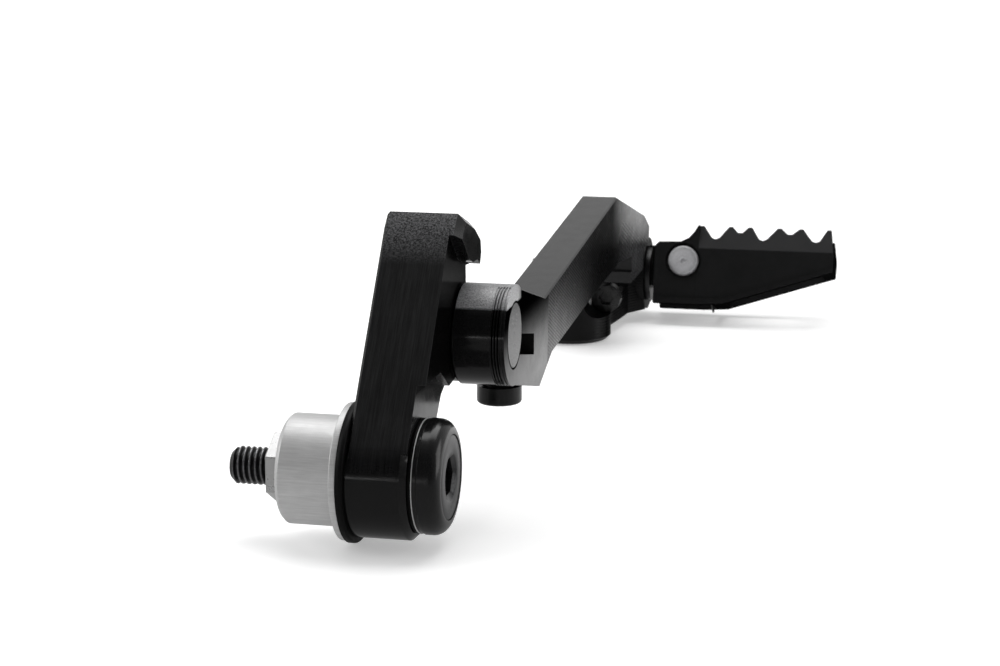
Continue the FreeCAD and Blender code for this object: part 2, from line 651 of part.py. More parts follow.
# Outlines as (X, Z); the tooth row runs outward.
PEG_TEETH = (crest(33.2, 0.8) + deep_valley(37.7) + crest(42.2) + shallow_valley(45.1)
             + crest(48.1) + deep_valley(52.1) + crest(57.0) + shallow_valley(60.2)
             + crest(63.6) + deep_valley(68.1) + crest(72.0, 0.6))
PEG_BOTTOM = [(19.5, -10.0), (33.0, -10.0), (40.8, -9.5), (73.5, 1.3), (73.7, 5.9)]
PEG_ROOT = [(31.2, 12.2), (29.6, 10.3), (27.2, 9.1), (20.6, 8.9), (19.5, 7.8)]
PEG_LIP = [(19.9, -10.0), (33.0, -10.0), (40.8, -9.5), (73.2, 1.2), (73.2, 2.4), (41.2, -8.0),
           (33.0, -8.3), (19.9, -8.3)]
RAIL_BAND = [(9.6, 7.2), (10.6, 7.2), (10.6, 15.6), (7.3, 15.6)]  # (Y, Z)


def shifted(points):
    return [(PEG_X + x, z) for x, z in points]


def peg_body():
    """One profile with the tooth row, hollowed between its two rails."""
    peg = new_body("PegBody")
    side = shifted(PEG_BOTTOM + PEG_TEETH[::-1] + PEG_ROOT)
    pad(peg, polygon(peg, "PegSide", "XZ", side), "2 * rail_half", midplane=True)
    pad(peg, polygon(peg, "PegLip", "XZ", shifted(PEG_LIP)), "2 * lip_half", midplane=True)

    # ears step in from the rails; the XZ plane's normal points along -Y
    ear = shifted(rectangle(PEG_CLEAR[0], RAIL_START, -8.3, 16.0))
    pocket(peg, polygon(peg, "EarStepA", "XZ", ear, "ear_half"))
    pocket(peg, polygon(peg, "EarStepB", "XZ", ear, "-ear_half"), reverse=False)

    # (name, X from, X to, Y from, Y to, Z of the cut's floor), each cut upward:
    # clevis gap, hollow, lowered bridge, lowered tip, and the rear tooth row,
    # which stands lower than the front row
    near, far = (PEG_X + x for x in PEG_CLEAR)
    gap, half = dims["gap_half"], dims["hollow_half"]
    clevis, hollow_in, hollow_out = dims["clevis_end"], dims["hollow_in"], dims["hollow_out"]
    for name, x_from, x_to, y_from, y_to, floor in (
            ("ClevisGap", near, clevis, -gap, gap, "-14"),
            ("Hollow", hollow_in, hollow_out, -half, half, "-14"),
            ("BridgeTop", clevis - 1, hollow_in + 1, -half, half, "bridge_top"),
            ("TipTop", hollow_out - 1, far, -half, half, "tip_top"),
            ("RearRow", near, far, dims["rear_row_in"], 11.0, "rear_row_top")):
        pocket(peg, polygon(peg, name, "XY", rectangle(x_from, x_to, y_from, y_to), floor))

    # sloped upper band of each rail
    for name, side_sign in (("BandA", -1), ("BandB", 1)):
        band = [(side_sign * y, z) for y, z in RAIL_BAND]
        pocket(peg, polygon(peg, name, "YZ", band, str(PEG_X + RAIL_START)))

    # pin hole, and its counterbore in the front ear
    pocket(peg, circle(peg, "PinHole", "XZ", "pin_rad", HINGE, "-20"))
    pocket(peg, circle(peg, "PinSink", "XZ", "pin_sink", HINGE, "ear_half - pin_sink_deep"),
           "pin_sink_len")
    doc.recompute()
    return rolled(peg)


# ---- hinge pin, clip and spring -----------------------------------------
def hinge_pin():
    """Pin with a rounded, dimpled head at the front."""
    blank = fuse("pin_blank", [
        cyl("pin_shank", "pin_rad", "pin_start", "pin_end", "y", HINGE),
        cyl("pin_head_disc", "pin_head", "pin_head_end", "pin_head_seat", "y", HINGE)])
    dimple = cyl("pin_dimple", "dimple_rad", "pin_head_end - over", "dimple_floor", "y", HINGE)
    return rolled(edge_finish("Fillet", "hinge_pin", cut("pin_cut", blank, dimple),
                              circle_at("y", "pin_head_end", "pin_head"), "pin_round"))


def pin_clip():
    """Open clip on the pin, behind the rear ear."""
    clear = ("ear_half - over", "ear_half + 2 * over")
    return rolled(cut(
        "pin_clip",
        cyl("clip_disc", "clip_rad", "ear_half + clip_start", "ear_half + clip_end", "y", HINGE),
        cyl("clip_hole", "pin_rad", *clear, "y", HINGE),
        box("clip_slot", ("hinge_x - clip_slot_half", "hinge_x + clip_slot_half"), clear,
            ("hinge_z - clip_rad - over", "hinge_z"))))


def torsion_spring():
    """One wire swept along leg, coil and leg beside the tongue."""
    wire, coil, turns = dims["wire_rad"], dims["coil_rad"], dims["spring_turns"]
    start, x, z = dims["spring_start"], dims["hinge_x"], dims["hinge_z"]
    y = dims["tongue_half"] + wire + dims["spring_gap"]
    path = [Vector(start + (x - start) * k / 6.0, y, z + coil) for k in range(6)]
    for k in range(33):
        angle = math.radians(90.0 - 360.0 * turns * k / 32)
        path.append(Vector(x + coil * math.cos(angle),
                           y + dims["spring_lead"] * turns * k / 32,
                           z + coil * math.sin(angle)))
    # the second leg leaves the coil on its tangent, down to the foot's height
    corner = path[-1]
    way = Vector(math.sin(angle), 0, -math.cos(angle))
    leg = (corner.z - dims["spring_foot"]) / -way.z
    path += [corner + way * (leg * k / 7.0) for k in range(1, 8)]
    curve = Part.BSplineCurve()
    curve.interpolate(path)
    section = Part.Wire([Part.Circle(path[0], Vector(1, 0, 0), wire).toShape()])
    spring = doc.addObject("Part::Feature", "torsion_spring")
    spring.Shape = Part.Wire([curve.toShape()]).makePipeShell([section], True, False)
    return rolled(spring)


# ---- build, verify, then write ------------------------------------------
# Each piece takes the name of the function that builds it.
pieces = {}
for build in (
        pivot_screw, pivot_sleeve, flanged_spacer, inner_seal, pivot_bushes, outer_seal,
        shim_washer, pivot_cap, pivot_arm, tilt_spindle, spindle_screw, tilt_washer,
        link_arm, link_clamp_screw, swivel_screw, swivel_spindle, swivel_washer,
        peg_carrier, carrier_screw, peg_stub, hinge_bush, stub_screw, stub_washer,
        peg_body, hinge_pin, pin_clip, torsion_spring):
    piece = build()
    piece.Label = build.__name__
    pieces[build.__name__] = piece

doc.recompute()
failed = [obj.Name for obj in doc.Objects
          if any("Invalid" in str(state) or "Error" in str(state) for state in obj.State)]
if failed:
    raise RuntimeError("failed objects: " + ", ".join(failed))
for name, piece in pieces.items():
    shape = piece.Shape
    if shape.isNull() or not shape.isValid() or not shape.Solids:
        raise RuntimeError("bad shape: " + name)
os.makedirs("parts", exist_ok=True)
for name, piece in pieces.items():
    piece.Shape.exportStep(os.path.join("parts", name + ".step"))
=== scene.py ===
# A black anodised lever assembly on a pale studio floor: a pivot arm, a long link arm,
# a peg carrier and a side-cut peg, with their screws, spacers, bushes, pins and seals.
# +Z is up. The pivot screw lies along X through the origin with its head at +X, and
# the link arm runs back along +Y. The camera looks from -Y, so +X is on its right.
import math

import bmesh
import bpy
from mathutils import Matrix, Vector

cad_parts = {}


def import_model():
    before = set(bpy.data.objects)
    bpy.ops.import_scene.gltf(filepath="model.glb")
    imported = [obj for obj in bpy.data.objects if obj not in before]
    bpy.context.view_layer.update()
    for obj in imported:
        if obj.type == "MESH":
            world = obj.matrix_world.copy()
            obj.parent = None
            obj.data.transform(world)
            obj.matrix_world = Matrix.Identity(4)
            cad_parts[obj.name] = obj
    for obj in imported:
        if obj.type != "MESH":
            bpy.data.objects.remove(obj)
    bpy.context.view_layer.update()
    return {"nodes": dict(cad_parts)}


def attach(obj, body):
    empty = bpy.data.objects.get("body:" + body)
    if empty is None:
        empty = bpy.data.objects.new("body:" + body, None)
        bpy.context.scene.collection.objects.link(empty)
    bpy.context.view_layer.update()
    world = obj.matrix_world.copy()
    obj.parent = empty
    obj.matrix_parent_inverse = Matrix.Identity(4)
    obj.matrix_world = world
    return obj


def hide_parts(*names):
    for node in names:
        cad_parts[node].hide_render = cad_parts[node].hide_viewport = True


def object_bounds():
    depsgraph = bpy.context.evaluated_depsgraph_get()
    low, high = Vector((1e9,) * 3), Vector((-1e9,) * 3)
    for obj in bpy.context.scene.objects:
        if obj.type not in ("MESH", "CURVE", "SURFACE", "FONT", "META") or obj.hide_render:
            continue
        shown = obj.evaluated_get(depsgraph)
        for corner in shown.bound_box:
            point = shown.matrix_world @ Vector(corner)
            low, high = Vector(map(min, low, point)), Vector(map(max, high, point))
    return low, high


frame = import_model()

MM = 0.001
SIDE = (1.0, 0.0, 0.0)               # the outer, +X side
SPINDLE_CENTRE = (0.0295, 0.0240)    # y, z of the tilt spindle, in metres
WHITE = (1, 1, 1, 1)
scene = bpy.context.scene


# ---------------------------------------------------------------- node helpers
class Graph:
    """Adds shader nodes to a cleared tree. A value may be a number or a socket."""

    def __init__(self, tree):
        self.tree = tree
        tree.nodes.clear()

    def node(self, kind, inputs=None, **settings):
        made = self.tree.nodes.new(kind)
        for key, value in settings.items():
            setattr(made, key, value)
        for key, value in (inputs or {}).items():
            self.put(made.inputs[key], value)
        return made

    def put(self, socket, value):
        if isinstance(value, bpy.types.NodeSocket):
            self.tree.links.new(value, socket)
        else:
            socket.default_value = value

    def calc(self, operation, first, second=0.0):
        made = self.node("ShaderNodeMath", {0: first, 1: second}, operation=operation)
        return made.outputs[0]

    def add(self, first, second):
        return self.calc("ADD", first, second)

    def sub(self, first, second):
        return self.calc("SUBTRACT", first, second)

    def mul(self, first, second):
        return self.calc("MULTIPLY", first, second)

    def power(self, value, exponent):
        return self.calc("POWER", value, exponent)

    def lift(self, value, mask, by):
        """value + mask * by"""
        return self.add(value, self.mul(mask, by))

    def lower(self, value, mask, by):
        """value - mask * by"""
        return self.sub(value, self.mul(mask, by))

    def fade(self, value, mask, by):
        """value * (1 - mask * by)"""
        return self.mul(value, self.lower(1.0, mask, by))

    def outside(self, mask):
        return self.sub(1.0, mask)

    def wave(self, value, pitch):
        return self.calc("SINE", self.mul(value, 2 * math.pi / pitch))

    def along(self, y, z, direction):
        """Distance along a (y, z) direction."""
        return self.add(self.mul(y, direction[0]), self.mul(z, direction[1]))

    def radius(self, first, second):
        return self.calc("SQRT", self.add(self.power(first, 2.0), self.power(second, 2.0)))

    def distance(self, first, second, centre):
        return self.radius(self.sub(first, centre[0]), self.sub(second, centre[1]))

    def ramp(self, value, over=(0.3, 0.7), to=(0.0, 1.0)):
        """Maps one range to another, clamped; the default range is the bulk of a noise."""
        return self.node("ShaderNodeMapRange", {
            "Value": value, "From Min": over[0], "From Max": over[1],
            "To Min": to[0], "To Max": to[1]}, clamp=True).outputs[0]


class Mat(Graph):
    """A Principled material with textures in object space, in metres."""

    def __init__(self, name):
        self.material = bpy.data.materials.new(name)
        self.material.use_nodes = True
        super().__init__(self.material.node_tree)
        self.output = self.node("ShaderNodeOutputMaterial")
        self.shader = self.node("ShaderNodeBsdfPrincipled")
        self.put(self.output.inputs[0], self.shader.outputs[0])
        self.position = self.node("ShaderNodeTexCoord").outputs["Object"]
        self.height = None
        self.specular = 0.5

    def xyz(self):
        return self.node("ShaderNodeSeparateXYZ", {0: self.position}).outputs[:]

    def noise(self, scale=1.0, detail=3.0, rough=0.55, stretch=None):
        """Noise, optionally with its own frequency along each axis."""
        place = self.position
        if stretch:
            place = self.node("ShaderNodeMapping", {0: place, "Scale": stretch}).outputs[0]
        return self.node("ShaderNodeTexNoise", {
            "Vector": place, "Scale": scale, "Detail": detail,
            "Roughness": rough}).outputs["Fac"]

    def add_height(self, pattern, depth):
        step = self.mul(pattern, depth)
        self.height = step if self.height is None else self.add(self.height, step)

    def dot(self, first, second):
        return self.node("ShaderNodeVectorMath", {0: first, 1: second},
                         operation="DOT_PRODUCT").outputs["Value"]

    def facing(self, direction, over=(0.9, 0.98)):
        """1 where the surface faces along the direction."""
        normal = self.node("ShaderNodeNewGeometry").outputs["True Normal"]
        turn = self.node("ShaderNodeVectorTransform", {0: normal}, vector_type="NORMAL",
                         convert_from="WORLD", convert_to="OBJECT")
        return self.ramp(self.dot(turn.outputs[0], direction), over=over)

    def edge(self, radius):
        """About 1 on sharp edges, 0 on flats."""
        rounded = self.node("ShaderNodeBevel", {"Radius": radius}, samples=4).outputs[0]
        normal = self.node("ShaderNodeNewGeometry").outputs["Normal"]
        return self.ramp(self.dot(rounded, normal), over=(0.995, 0.90))

    def finish(self, tone, rough, metallic=0.0, ior=1.5, tint=(1.0, 1.0, 1.03)):
        """Wires a grey tone, slightly tinted, and the gathered height to the shader."""
        channels = {i: self.mul(tone, tint[i]) for i in range(3)}
        colour = self.node("ShaderNodeCombineColor", channels).outputs[0]
        values = {"Base Color": colour, "Roughness": rough, "Metallic": metallic,
                  "IOR": ior, "Specular IOR Level": self.specular}
        if self.height is not None:
            values["Normal"] = self.node("ShaderNodeBump", {
                "Strength": 1.0, "Distance": 1.0, "Height": self.height}).outputs[0]
        for key, value in values.items():
            self.put(self.shader.inputs[key], value)
        return self.material


# ------------------------------------------------------------------ materials
def anodised(name, base, rough, grain, extra=None):
    """Black anodised aluminium: fine blasted grain, slightly paler along its edges from wear
    and a painted edge highlight.
    """
    m = Mat(name)
    fine = m.noise(scale=5200, detail=2, rough=0.6)
    cloud = m.noise(scale=70, rough=0.6)
    tone = m.add(m.ramp(cloud, to=(base * 0.9, base * 1.15)),
                 m.ramp(fine, over=(0.35, 0.75), to=(0.0, base * 0.45)))
    # paler along the edges: partly edge wear, partly a painted edge highlight
    wear_and_edge_highlight = m.mul(m.edge(radius=0.00022),
                 m.ramp(m.noise(scale=900), over=(0.35, 0.65), to=(0.25, 1.0)))
    tone = m.lift(tone, wear_and_edge_highlight, by=0.022)
    rough = m.ramp(m.noise(scale=260), to=(rough - 0.03, rough + 0.04))
    # the grain is almost flat on the +X side
    m.add_height(m.mul(fine, m.lower(1.0, m.facing(SIDE), by=0.9)), depth=0.0000030 * grain)
    m.specular = 0.30
    if extra:
        tone, rough = extra(m, tone, rough)
    return m.finish(tone, rough)


def arm_extra(m, tone, rough):
    """Upright brushing on the front face, a rougher pale band under the top edge."""
    front = m.facing((0.0, -0.81, 0.59), over=(0.9, 0.97))
    streak = m.noise(detail=4, rough=0.75, stretch=(5200, 120, 120))
    wide = m.noise(detail=2, rough=0.6, stretch=(900, 40, 40))
    z = m.xyz()[2]
    top = m.ramp(z, over=(0.0415, 0.0490))
    speckle = m.noise(scale=2600, rough=0.75)
    m.add_height(m.mul(streak, front), depth=0.00001)
    m.add_height(m.mul(speckle, m.mul(top, front)), depth=0.00002)
    tone = m.lift(tone, front, by=m.ramp(streak, over=(0.38, 0.68), to=(-0.002, 0.011)))
    tone = m.lift(tone, front, by=m.ramp(wide, over=(0.4, 0.7), to=(0.0, 0.004)))
    tone = m.lift(tone, m.mul(top, front),
                  by=m.ramp(speckle, over=(0.40, 0.64), to=(0.0, 0.17)))
    front_rough = 0.14
    rough = m.add(m.mul(front, front_rough), rough)

    # the +X side is smoother, and above the boss it is painted dark: painted shade, with less
    # specular
    side = m.facing(SIDE)
    rough = m.lower(rough, side, by=0.06)
    shade = m.mul(side, m.ramp(z, over=(0.012, 0.018)))
    m.specular = m.lower(m.lower(m.specular, shade, by=0.295), front, by=0.16)
    tone = m.fade(tone, shade, by=0.75)

    # the boss is polished a little finer than the plate
    boss = m.mul(m.ramp(z, over=(0.0090, 0.0060)), m.outside(side))
    rough = m.lower(rough, boss, by=0.12)
    return m.fade(tone, boss, by=0.45), rough


def link_extra(m, tone, rough):
    """Diagonal cutter marks on the +X face, contour steps on the far head."""
    _, y, z = m.xyz()
    side = m.facing(SIDE)
    # a slanted crease parts the near end face from the long face
    crease_slope = 0.10
    beyond = m.ramp(m.lower(y, z, by=crease_slope), over=(0.0640, 0.0646))
    lines = m.wave(m.along(y, z, direction=(0.40, 0.916)), pitch=0.0008)
    near_part = m.ramp(y, over=(0.175, 0.160))
    long_face = m.mul(side, beyond)
    marked = m.mul(long_face, near_part)
    m.add_height(m.mul(lines, marked), depth=0.00002)

    # contour steps below the descending top edge of the head
    below_edge = m.ramp(m.along(y, z, direction=(0.2447, 0.9696)), over=(0.0685, 0.0670))
    steps = m.wave(m.along(y, z, direction=(0.352, 0.936)), pitch=0.0011)
    head = m.mul(m.mul(m.ramp(y, over=(0.166, 0.172)), below_edge), side)
    m.add_height(m.mul(steps, head), depth=0.000016)
    tone = m.lift(tone, head, by=m.ramp(steps, over=(-0.2, 1.0), to=(0.0, 0.060)))
    tone = m.lift(tone, marked, by=m.ramp(lines, over=(0.0, 1.0), to=(-0.003, 0.024)))

    # painted reflection: the end face is painted dark above and given more specular below;
    # the long face is painted darker past its near end and paler far away, and its specular
    # rises low down near the end and high up far away
    full, base_level, end_power, long_power = 0.5, 0.10, 4.0, 3.0
    end_face = m.mul(side, m.outside(beyond))
    end_shine = m.mul(full, m.power(
        m.ramp(z, over=(0.0285, 0.0105), to=(0.03, 0.95)), end_power))
    low = m.mul(m.ramp(z, over=(0.0270, 0.0120), to=(0.10, 0.52)),
                m.ramp(y, over=(0.125, 0.075)))
    high = m.mul(m.ramp(z, over=(0.0150, 0.0280), to=(0.2, 1.0)),
                 m.ramp(y, over=(0.155, 0.200), to=(0.0, 0.66)))
    long_shine = m.mul(full, m.power(m.add(base_level, m.add(low, high)), long_power))
    line_share, step_share = 0.50, 0.45
    cuts = m.add(m.mul(lines, m.mul(near_part, line_share)),
                 m.mul(steps, m.mul(head, step_share)))
    long_shine = m.mul(long_shine, m.add(1.0, cuts))
    tone = m.fade(tone, long_face, by=m.ramp(y, over=(0.085, 0.135), to=(0.0, 0.85)))
    tone = m.lift(tone, long_face, by=m.ramp(y, over=(0.160, 0.190), to=(0.0, 0.016)))
    tone = m.fade(tone, end_face, by=m.ramp(z, over=(0.0150, 0.0250), to=(0.0, 0.96)))
    rest = m.outside(side)
    m.specular = m.lift(m.lift(m.mul(end_face, end_shine), long_face, by=long_shine),
                        rest, by=0.26)
    rough = m.lift(rough, long_face, by=0.06)

    # near end: the upper part of the clamp ring has open grain and a painted highlight; the
    # rest is smoother and painted a little darker as shade
    grain_and_top_highlight = m.mul(m.ramp(y, over=(0.036, 0.032)), m.ramp(z, over=(0.0309, 0.0314)))
    speckle = m.noise(scale=3600, rough=0.8)
    tone = m.lift(tone, grain_and_top_highlight, by=m.ramp(speckle, over=(0.38, 0.64), to=(0.09, 0.46)))
    m.specular = m.lift(m.specular, grain_and_top_highlight, by=0.5)
    rough = m.lift(rough, grain_and_top_highlight, by=0.16)
    m.add_height(m.mul(speckle, grain_and_top_highlight), depth=0.00001)
    ring = m.mul(rest, m.mul(m.ramp(y, over=(0.031, 0.028)), m.outside(grain_and_top_highlight)))
    rough = m.lower(rough, ring, by=0.11)
    tone = m.fade(tone, ring, by=0.15)

    # painted shadow line: the spindle's seat is painted black, with no specular, in a thin
    # ring round the spindle
    from_spindle = m.distance(y, z, SPINDLE_CENTRE)
    seat = m.mul(side, m.ramp(from_spindle, over=(0.00742, 0.00756), to=(1.0, 0.0)))
    clear = m.outside(seat)
    m.specular = m.mul(m.specular, clear)
    return m.mul(tone, clear), rough


def carrier_extra(m, tone, rough):
    """Level-by-level ball cutter ridges on the blended web."""
    x, y, z = m.xyz()
    ridge_pitch = 0.00085
    ridges = m.calc("ABSOLUTE", m.wave(z, pitch=2 * ridge_pitch))
    web = m.mul(m.ramp(x, over=(0.0318, 0.0332)), m.ramp(y, over=(0.2335, 0.2315)))
    ridged = m.mul(web, m.outside(m.facing((0.0, 0.0, 1.0))))
    m.add_height(m.mul(ridges, ridged), depth=0.00009)
    tone = m.lift(tone, ridged, by=m.ramp(ridges, over=(0.0, 1.0), to=(-0.004, 0.008)))
    # painted shade: the whole carrier is painted at half tone, its +X side darker still, with
    # little specular
    side = m.facing(SIDE, over=(0.8, 0.95))
    m.specular = m.lower(0.09, side, by=0.088)
    return m.mul(tone, m.lower(0.50, side, by=0.25)), rough


def peg_extra(m, tone, rough):
    """Side-cut tooth flanks with faint cutter chatter, painted shade on faces turned down or
    to +X, and a painted highlight on the sloped band.
    """
    x, _, z = m.xyz()
    m.add_height(m.wave(m.lift(x, z, by=0.15), pitch=0.0009), depth=0.000003)
    # painted shade: faces turned down or to +X are painted darker and get less specular
    down = m.facing((0.0, -0.28, -0.96), over=(0.35, 0.75))
    shaded_faces = m.calc("MAXIMUM", down, m.facing(SIDE, over=(0.7, 0.9)))
    m.specular = m.lower(m.specular, shaded_faces, by=0.30)
    tone = m.fade(tone, shaded_faces, by=0.75)
    # the sloped band over the crease is painted a little paler: a painted highlight
    upper = m.facing((0.0, -0.850, 0.527), over=(0.985, 0.995))
    return m.lift(tone, upper, by=0.020), rough


def turned(name, base, rough, metallic, pitch, depth, speck, axis="x", tint=(1, 1, 1)):
    """Lathe-turned metal: rings of tool marks about an axis, with a light grain."""
    m = Mat(name)
    index = "xyz".index(axis)
    wobble = m.noise(scale=500, detail=2)
    ring = m.wave(m.lift(m.xyz()[index], wobble, by=pitch * 0.25), pitch)
    stretch = [2600, 2600, 2600]
    stretch[index] = 160
    grain = m.noise(rough=0.7, stretch=stretch)
    blotch = m.noise(scale=90, detail=4, rough=0.6)
    m.add_height(ring, depth)
    m.add_height(grain, depth * 0.3)
    tone = m.add(m.ramp(blotch, to=(base * 0.93, base * 1.05)),
                 m.ramp(grain, over=(0.3, 0.75), to=(-speck * base, speck * base)))
    rough = m.ramp(m.noise(scale=900), to=(rough - 0.05, rough + 0.06))
    return m.finish(tone, rough, metallic=metallic, tint=tint)


def rubber(name, base):
    m = Mat(name)
    grain = m.noise(scale=1800, detail=4, rough=0.6)
    m.add_height(grain, depth=0.000006)
    m.specular = 0.07
    return m.finish(m.ramp(grain, to=(base * 0.7, base * 1.5)),
                    rough=m.ramp(m.noise(scale=400), to=(0.39, 0.53)))


def polymer(name, base):
    m = Mat(name)
    grain = m.noise(scale=2600, rough=0.7)
    tone = m.add(m.ramp(m.noise(scale=120), to=(base * 0.8, base * 1.2)),
                 m.ramp(grain, over=(0.6, 0.8), to=(0.0, base)))
    m.add_height(grain, depth=0.000008)
    return m.finish(tone, rough=0.5)


def threaded(name):
    """Black screw steel, with a painted highlight on the crests of the thread."""
    m = Mat(name)
    x, y, z = m.xyz()
    # painted highlight along the thread crests, broken up by the grain
    crest = m.mul(m.ramp(m.radius(y, z), over=(0.00375, 0.00392)),
                  m.ramp(x, over=(0.0, -0.0004)))
    grain = m.noise(scale=2400, rough=0.7)
    crest = m.mul(crest, m.ramp(grain, over=(0.3, 0.6), to=(0.35, 1.0)))
    m.add_height(grain, depth=0.000003)
    tone = m.lift(m.ramp(grain, to=(0.014, 0.026)), crest, by=0.22)
    head = m.ramp(x, over=(0.0370, 0.0375))
    tone = m.lift(tone, head, by=m.ramp(grain, over=(0.4, 0.65), to=(0.0, 0.02)))
    # four small dark marks on the head, round the socket
    out = 0.0064
    for centre in ((0.0, out), (0.0, -out), (out, 0.0), (-out, 0.0)):
        off = m.distance(y, z, centre)
        tone = m.fade(tone, head, by=m.ramp(off, over=(0.00035, 0.0005), to=(0.95, 0.0)))
    return m.finish(tone, rough=m.ramp(grain, to=(0.26, 0.38)), metallic=0.7)


def spindle_face(name):
    """Black turned pin; its end face carries four tiny pale marks inside a rim painted dark
    as a shadow line.
    """
    m = Mat(name)
    _, y, z = m.xyz()
    side = m.facing(SIDE)
    grain = m.noise(scale=1500, rough=0.6)
    tone = m.ramp(grain, to=(0.010, 0.016))
    off_y = m.sub(y, SPINDLE_CENTRE[0])
    off_z = m.sub(z, SPINDLE_CENTRE[1])
    for mark_z in (0.0042, 0.0030):
        for mark_y in (-0.0020, 0.0020):
            off = m.distance(off_y, off_z, (mark_y, mark_z))
            tone = m.lift(tone, side, by=m.ramp(off, over=(0.00022, 0.00034), to=(0.16, 0.0)))
    # painted shadow line: the rim of the face is painted black, with no specular
    rim = m.mul(side, m.ramp(m.radius(off_y, off_z), over=(0.00702, 0.00712)))
    clear = m.outside(rim)
    # the face reflects more towards its lower edge
    full, falloff = 0.5, 3.2
    shine = m.power(m.ramp(z, over=(0.0330, 0.0140), to=(0.40, 0.90)), falloff)
    m.specular = m.mul(clear, m.mul(full, shine))
    m.add_height(grain, depth=0.000002)
    return m.finish(m.mul(tone, clear), rough=m.ramp(grain, to=(0.22, 0.30)))


def pin_face(name):
    """Blasted pin head: shallow dome with a centre nub and a slightly darker rim."""
    m = Mat(name)
    x, _, z = m.xyz()
    centre_x, centre_z = 0.0535, 0.00485
    z_squash = 0.9588          # height of the head over its width
    dome_radius = 0.00455
    grain = m.noise(scale=1700, detail=4, rough=0.7)
    off = m.radius(m.sub(x, centre_x), m.calc("DIVIDE", m.sub(z, centre_z), z_squash))
    dome = m.mul(m.power(m.calc("DIVIDE", off, dome_radius), 2.0), -1.0)
    m.add_height(dome, depth=0.00085)
    m.add_height(m.ramp(off, over=(0.0004, 0.0011), to=(1.0, 0.0)), depth=0.0003)
    m.add_height(grain, depth=0.000006)
    tone = m.add(m.ramp(off, over=(0.0028, 0.0043), to=(0.50, 0.30)),
                 m.ramp(grain, over=(0.35, 0.7), to=(-0.06, 0.05)))
    return m.finish(tone, rough=m.ramp(grain, to=(0.42, 0.55)), metallic=0.25)


MATERIALS = {
    "arm": anodised("anodised_brushed_arm", base=0.0050, rough=0.26, grain=0.35,
                    extra=arm_extra),
    "link": anodised("anodised_milled_link", base=0.0075, rough=0.22, grain=1.0,
                     extra=link_extra),
    "carrier": anodised("anodised_milled_carrier", base=0.0060, rough=0.30, grain=1.2,
                        extra=carrier_extra),
    "peg": anodised("anodised_peg", base=0.0080, rough=0.32, grain=1.4, extra=peg_extra),
    "cap": anodised("anodised_cap", base=0.0060, rough=0.19, grain=0.7),
    "stub": anodised("anodised_stub", base=0.0060, rough=0.30, grain=1.0),
    "spindle": spindle_face("turned_black_spindle"),
    "oxide": turned("black_oxide_steel", base=0.018, rough=0.30, metallic=0.6,
                    pitch=0.0004, depth=0.000002, speck=0.25),
    "oxide_z": turned("black_oxide_screw", base=0.016, rough=0.32, metallic=0.6,
                      pitch=0.0004, depth=0.000002, speck=0.25, axis="z"),
    "thread": threaded("black_oxide_thread"),
    "alu": turned("turned_bare_aluminium", base=0.56, rough=0.42, metallic=0.35,
                  pitch=0.00034, depth=0.000003, speck=0.11),
    "bright": turned("bright_ground_steel", base=0.46, rough=0.30, metallic=0.5,
                     pitch=0.00022, depth=0.0000018, speck=0.05),
    "bronze": turned("sintered_bronze", base=0.45, rough=0.4, metallic=1.0,
                     pitch=0.0003, depth=0.000002, speck=0.12, tint=(1.0, 0.72, 0.36)),
    "pin": pin_face("blasted_pin"),
    "rubber": rubber("nitrile_rubber", base=0.0035),
    "polymer": polymer("dark_polymer", base=0.012),
    "spring": turned("drawn_spring_wire", base=0.16, rough=0.3, metallic=1.0,
                     pitch=0.0006, depth=0.000002, speck=0.1, axis="y"),
}

# ------------------------------------------------------------------ CAD pieces
# piece: (material, broken edge width in mm or None)
PIECES = {
    "pivot_arm": ("arm", 0.30), "link_arm": ("link", 0.22),
    "peg_carrier": ("carrier", 0.30), "peg_body": ("peg", 0.22),
    "pivot_cap": ("cap", 0.15), "peg_stub": ("stub", 0.25),
    "tilt_spindle": ("spindle", 0.12), "pivot_screw": ("oxide", None),
    "spindle_screw": ("oxide", None), "link_clamp_screw": ("oxide_z", 0.18),
    "swivel_screw": ("oxide_z", 0.25), "carrier_screw": ("oxide", 0.2),
    "stub_screw": ("oxide", 0.2), "flanged_spacer": ("alu", 0.20),
    "pivot_sleeve": ("bright", 0.22), "shim_washer": ("alu", None),
    "swivel_spindle": ("bright", None), "stub_washer": ("bright", 0.12),
    "pin_clip": ("bright", 0.1), "pivot_bushes": ("bronze", None),
    "hinge_bush": ("bronze", None), "hinge_pin": ("pin", 0.12),
    "inner_seal": ("rubber", None), "outer_seal": ("rubber", None),
    "tilt_washer": ("polymer", None), "swivel_washer": ("polymer", None),
    "torsion_spring": ("spring", None),
}
EDGE_ANGLE = 24             # degrees; sharper edges than this are broken
SHALLOW_EDGE_ANGLE = 12.5   # for the pieces with shallow creases
SHALLOW_PIECES = ("peg_body", "link_arm")


def shade_smooth(mesh):
    for face in mesh.polygons:
        face.use_smooth = True


def dress(piece, material, edge_width, angle):
    """Gives a CAD piece its material, welded seams and broken edges."""
    piece.data.materials.clear()
    piece.data.materials.append(material)
    weld = piece.modifiers.new("weld", "WELD")
    weld.merge_threshold = 0.000002
    if edge_width:
        bevel = piece.modifiers.new("bevel", "BEVEL")
        bevel.width = edge_width * MM
        bevel.segments = 2
        bevel.limit_method = "ANGLE"
        bevel.angle_limit = math.radians(angle)
        flats = piece.modifiers.new("flats", "WEIGHTED_NORMAL")
        flats.mode = "FACE_AREA"
        flats.weight = 80
    shade_smooth(piece.data)


for name, piece in frame["nodes"].items():
    material_key, edge_width = PIECES[name]
    angle = SHALLOW_EDGE_ANGLE if name in SHALLOW_PIECES else EDGE_ANGLE
    dress(piece, MATERIALS[material_key], edge_width, angle)


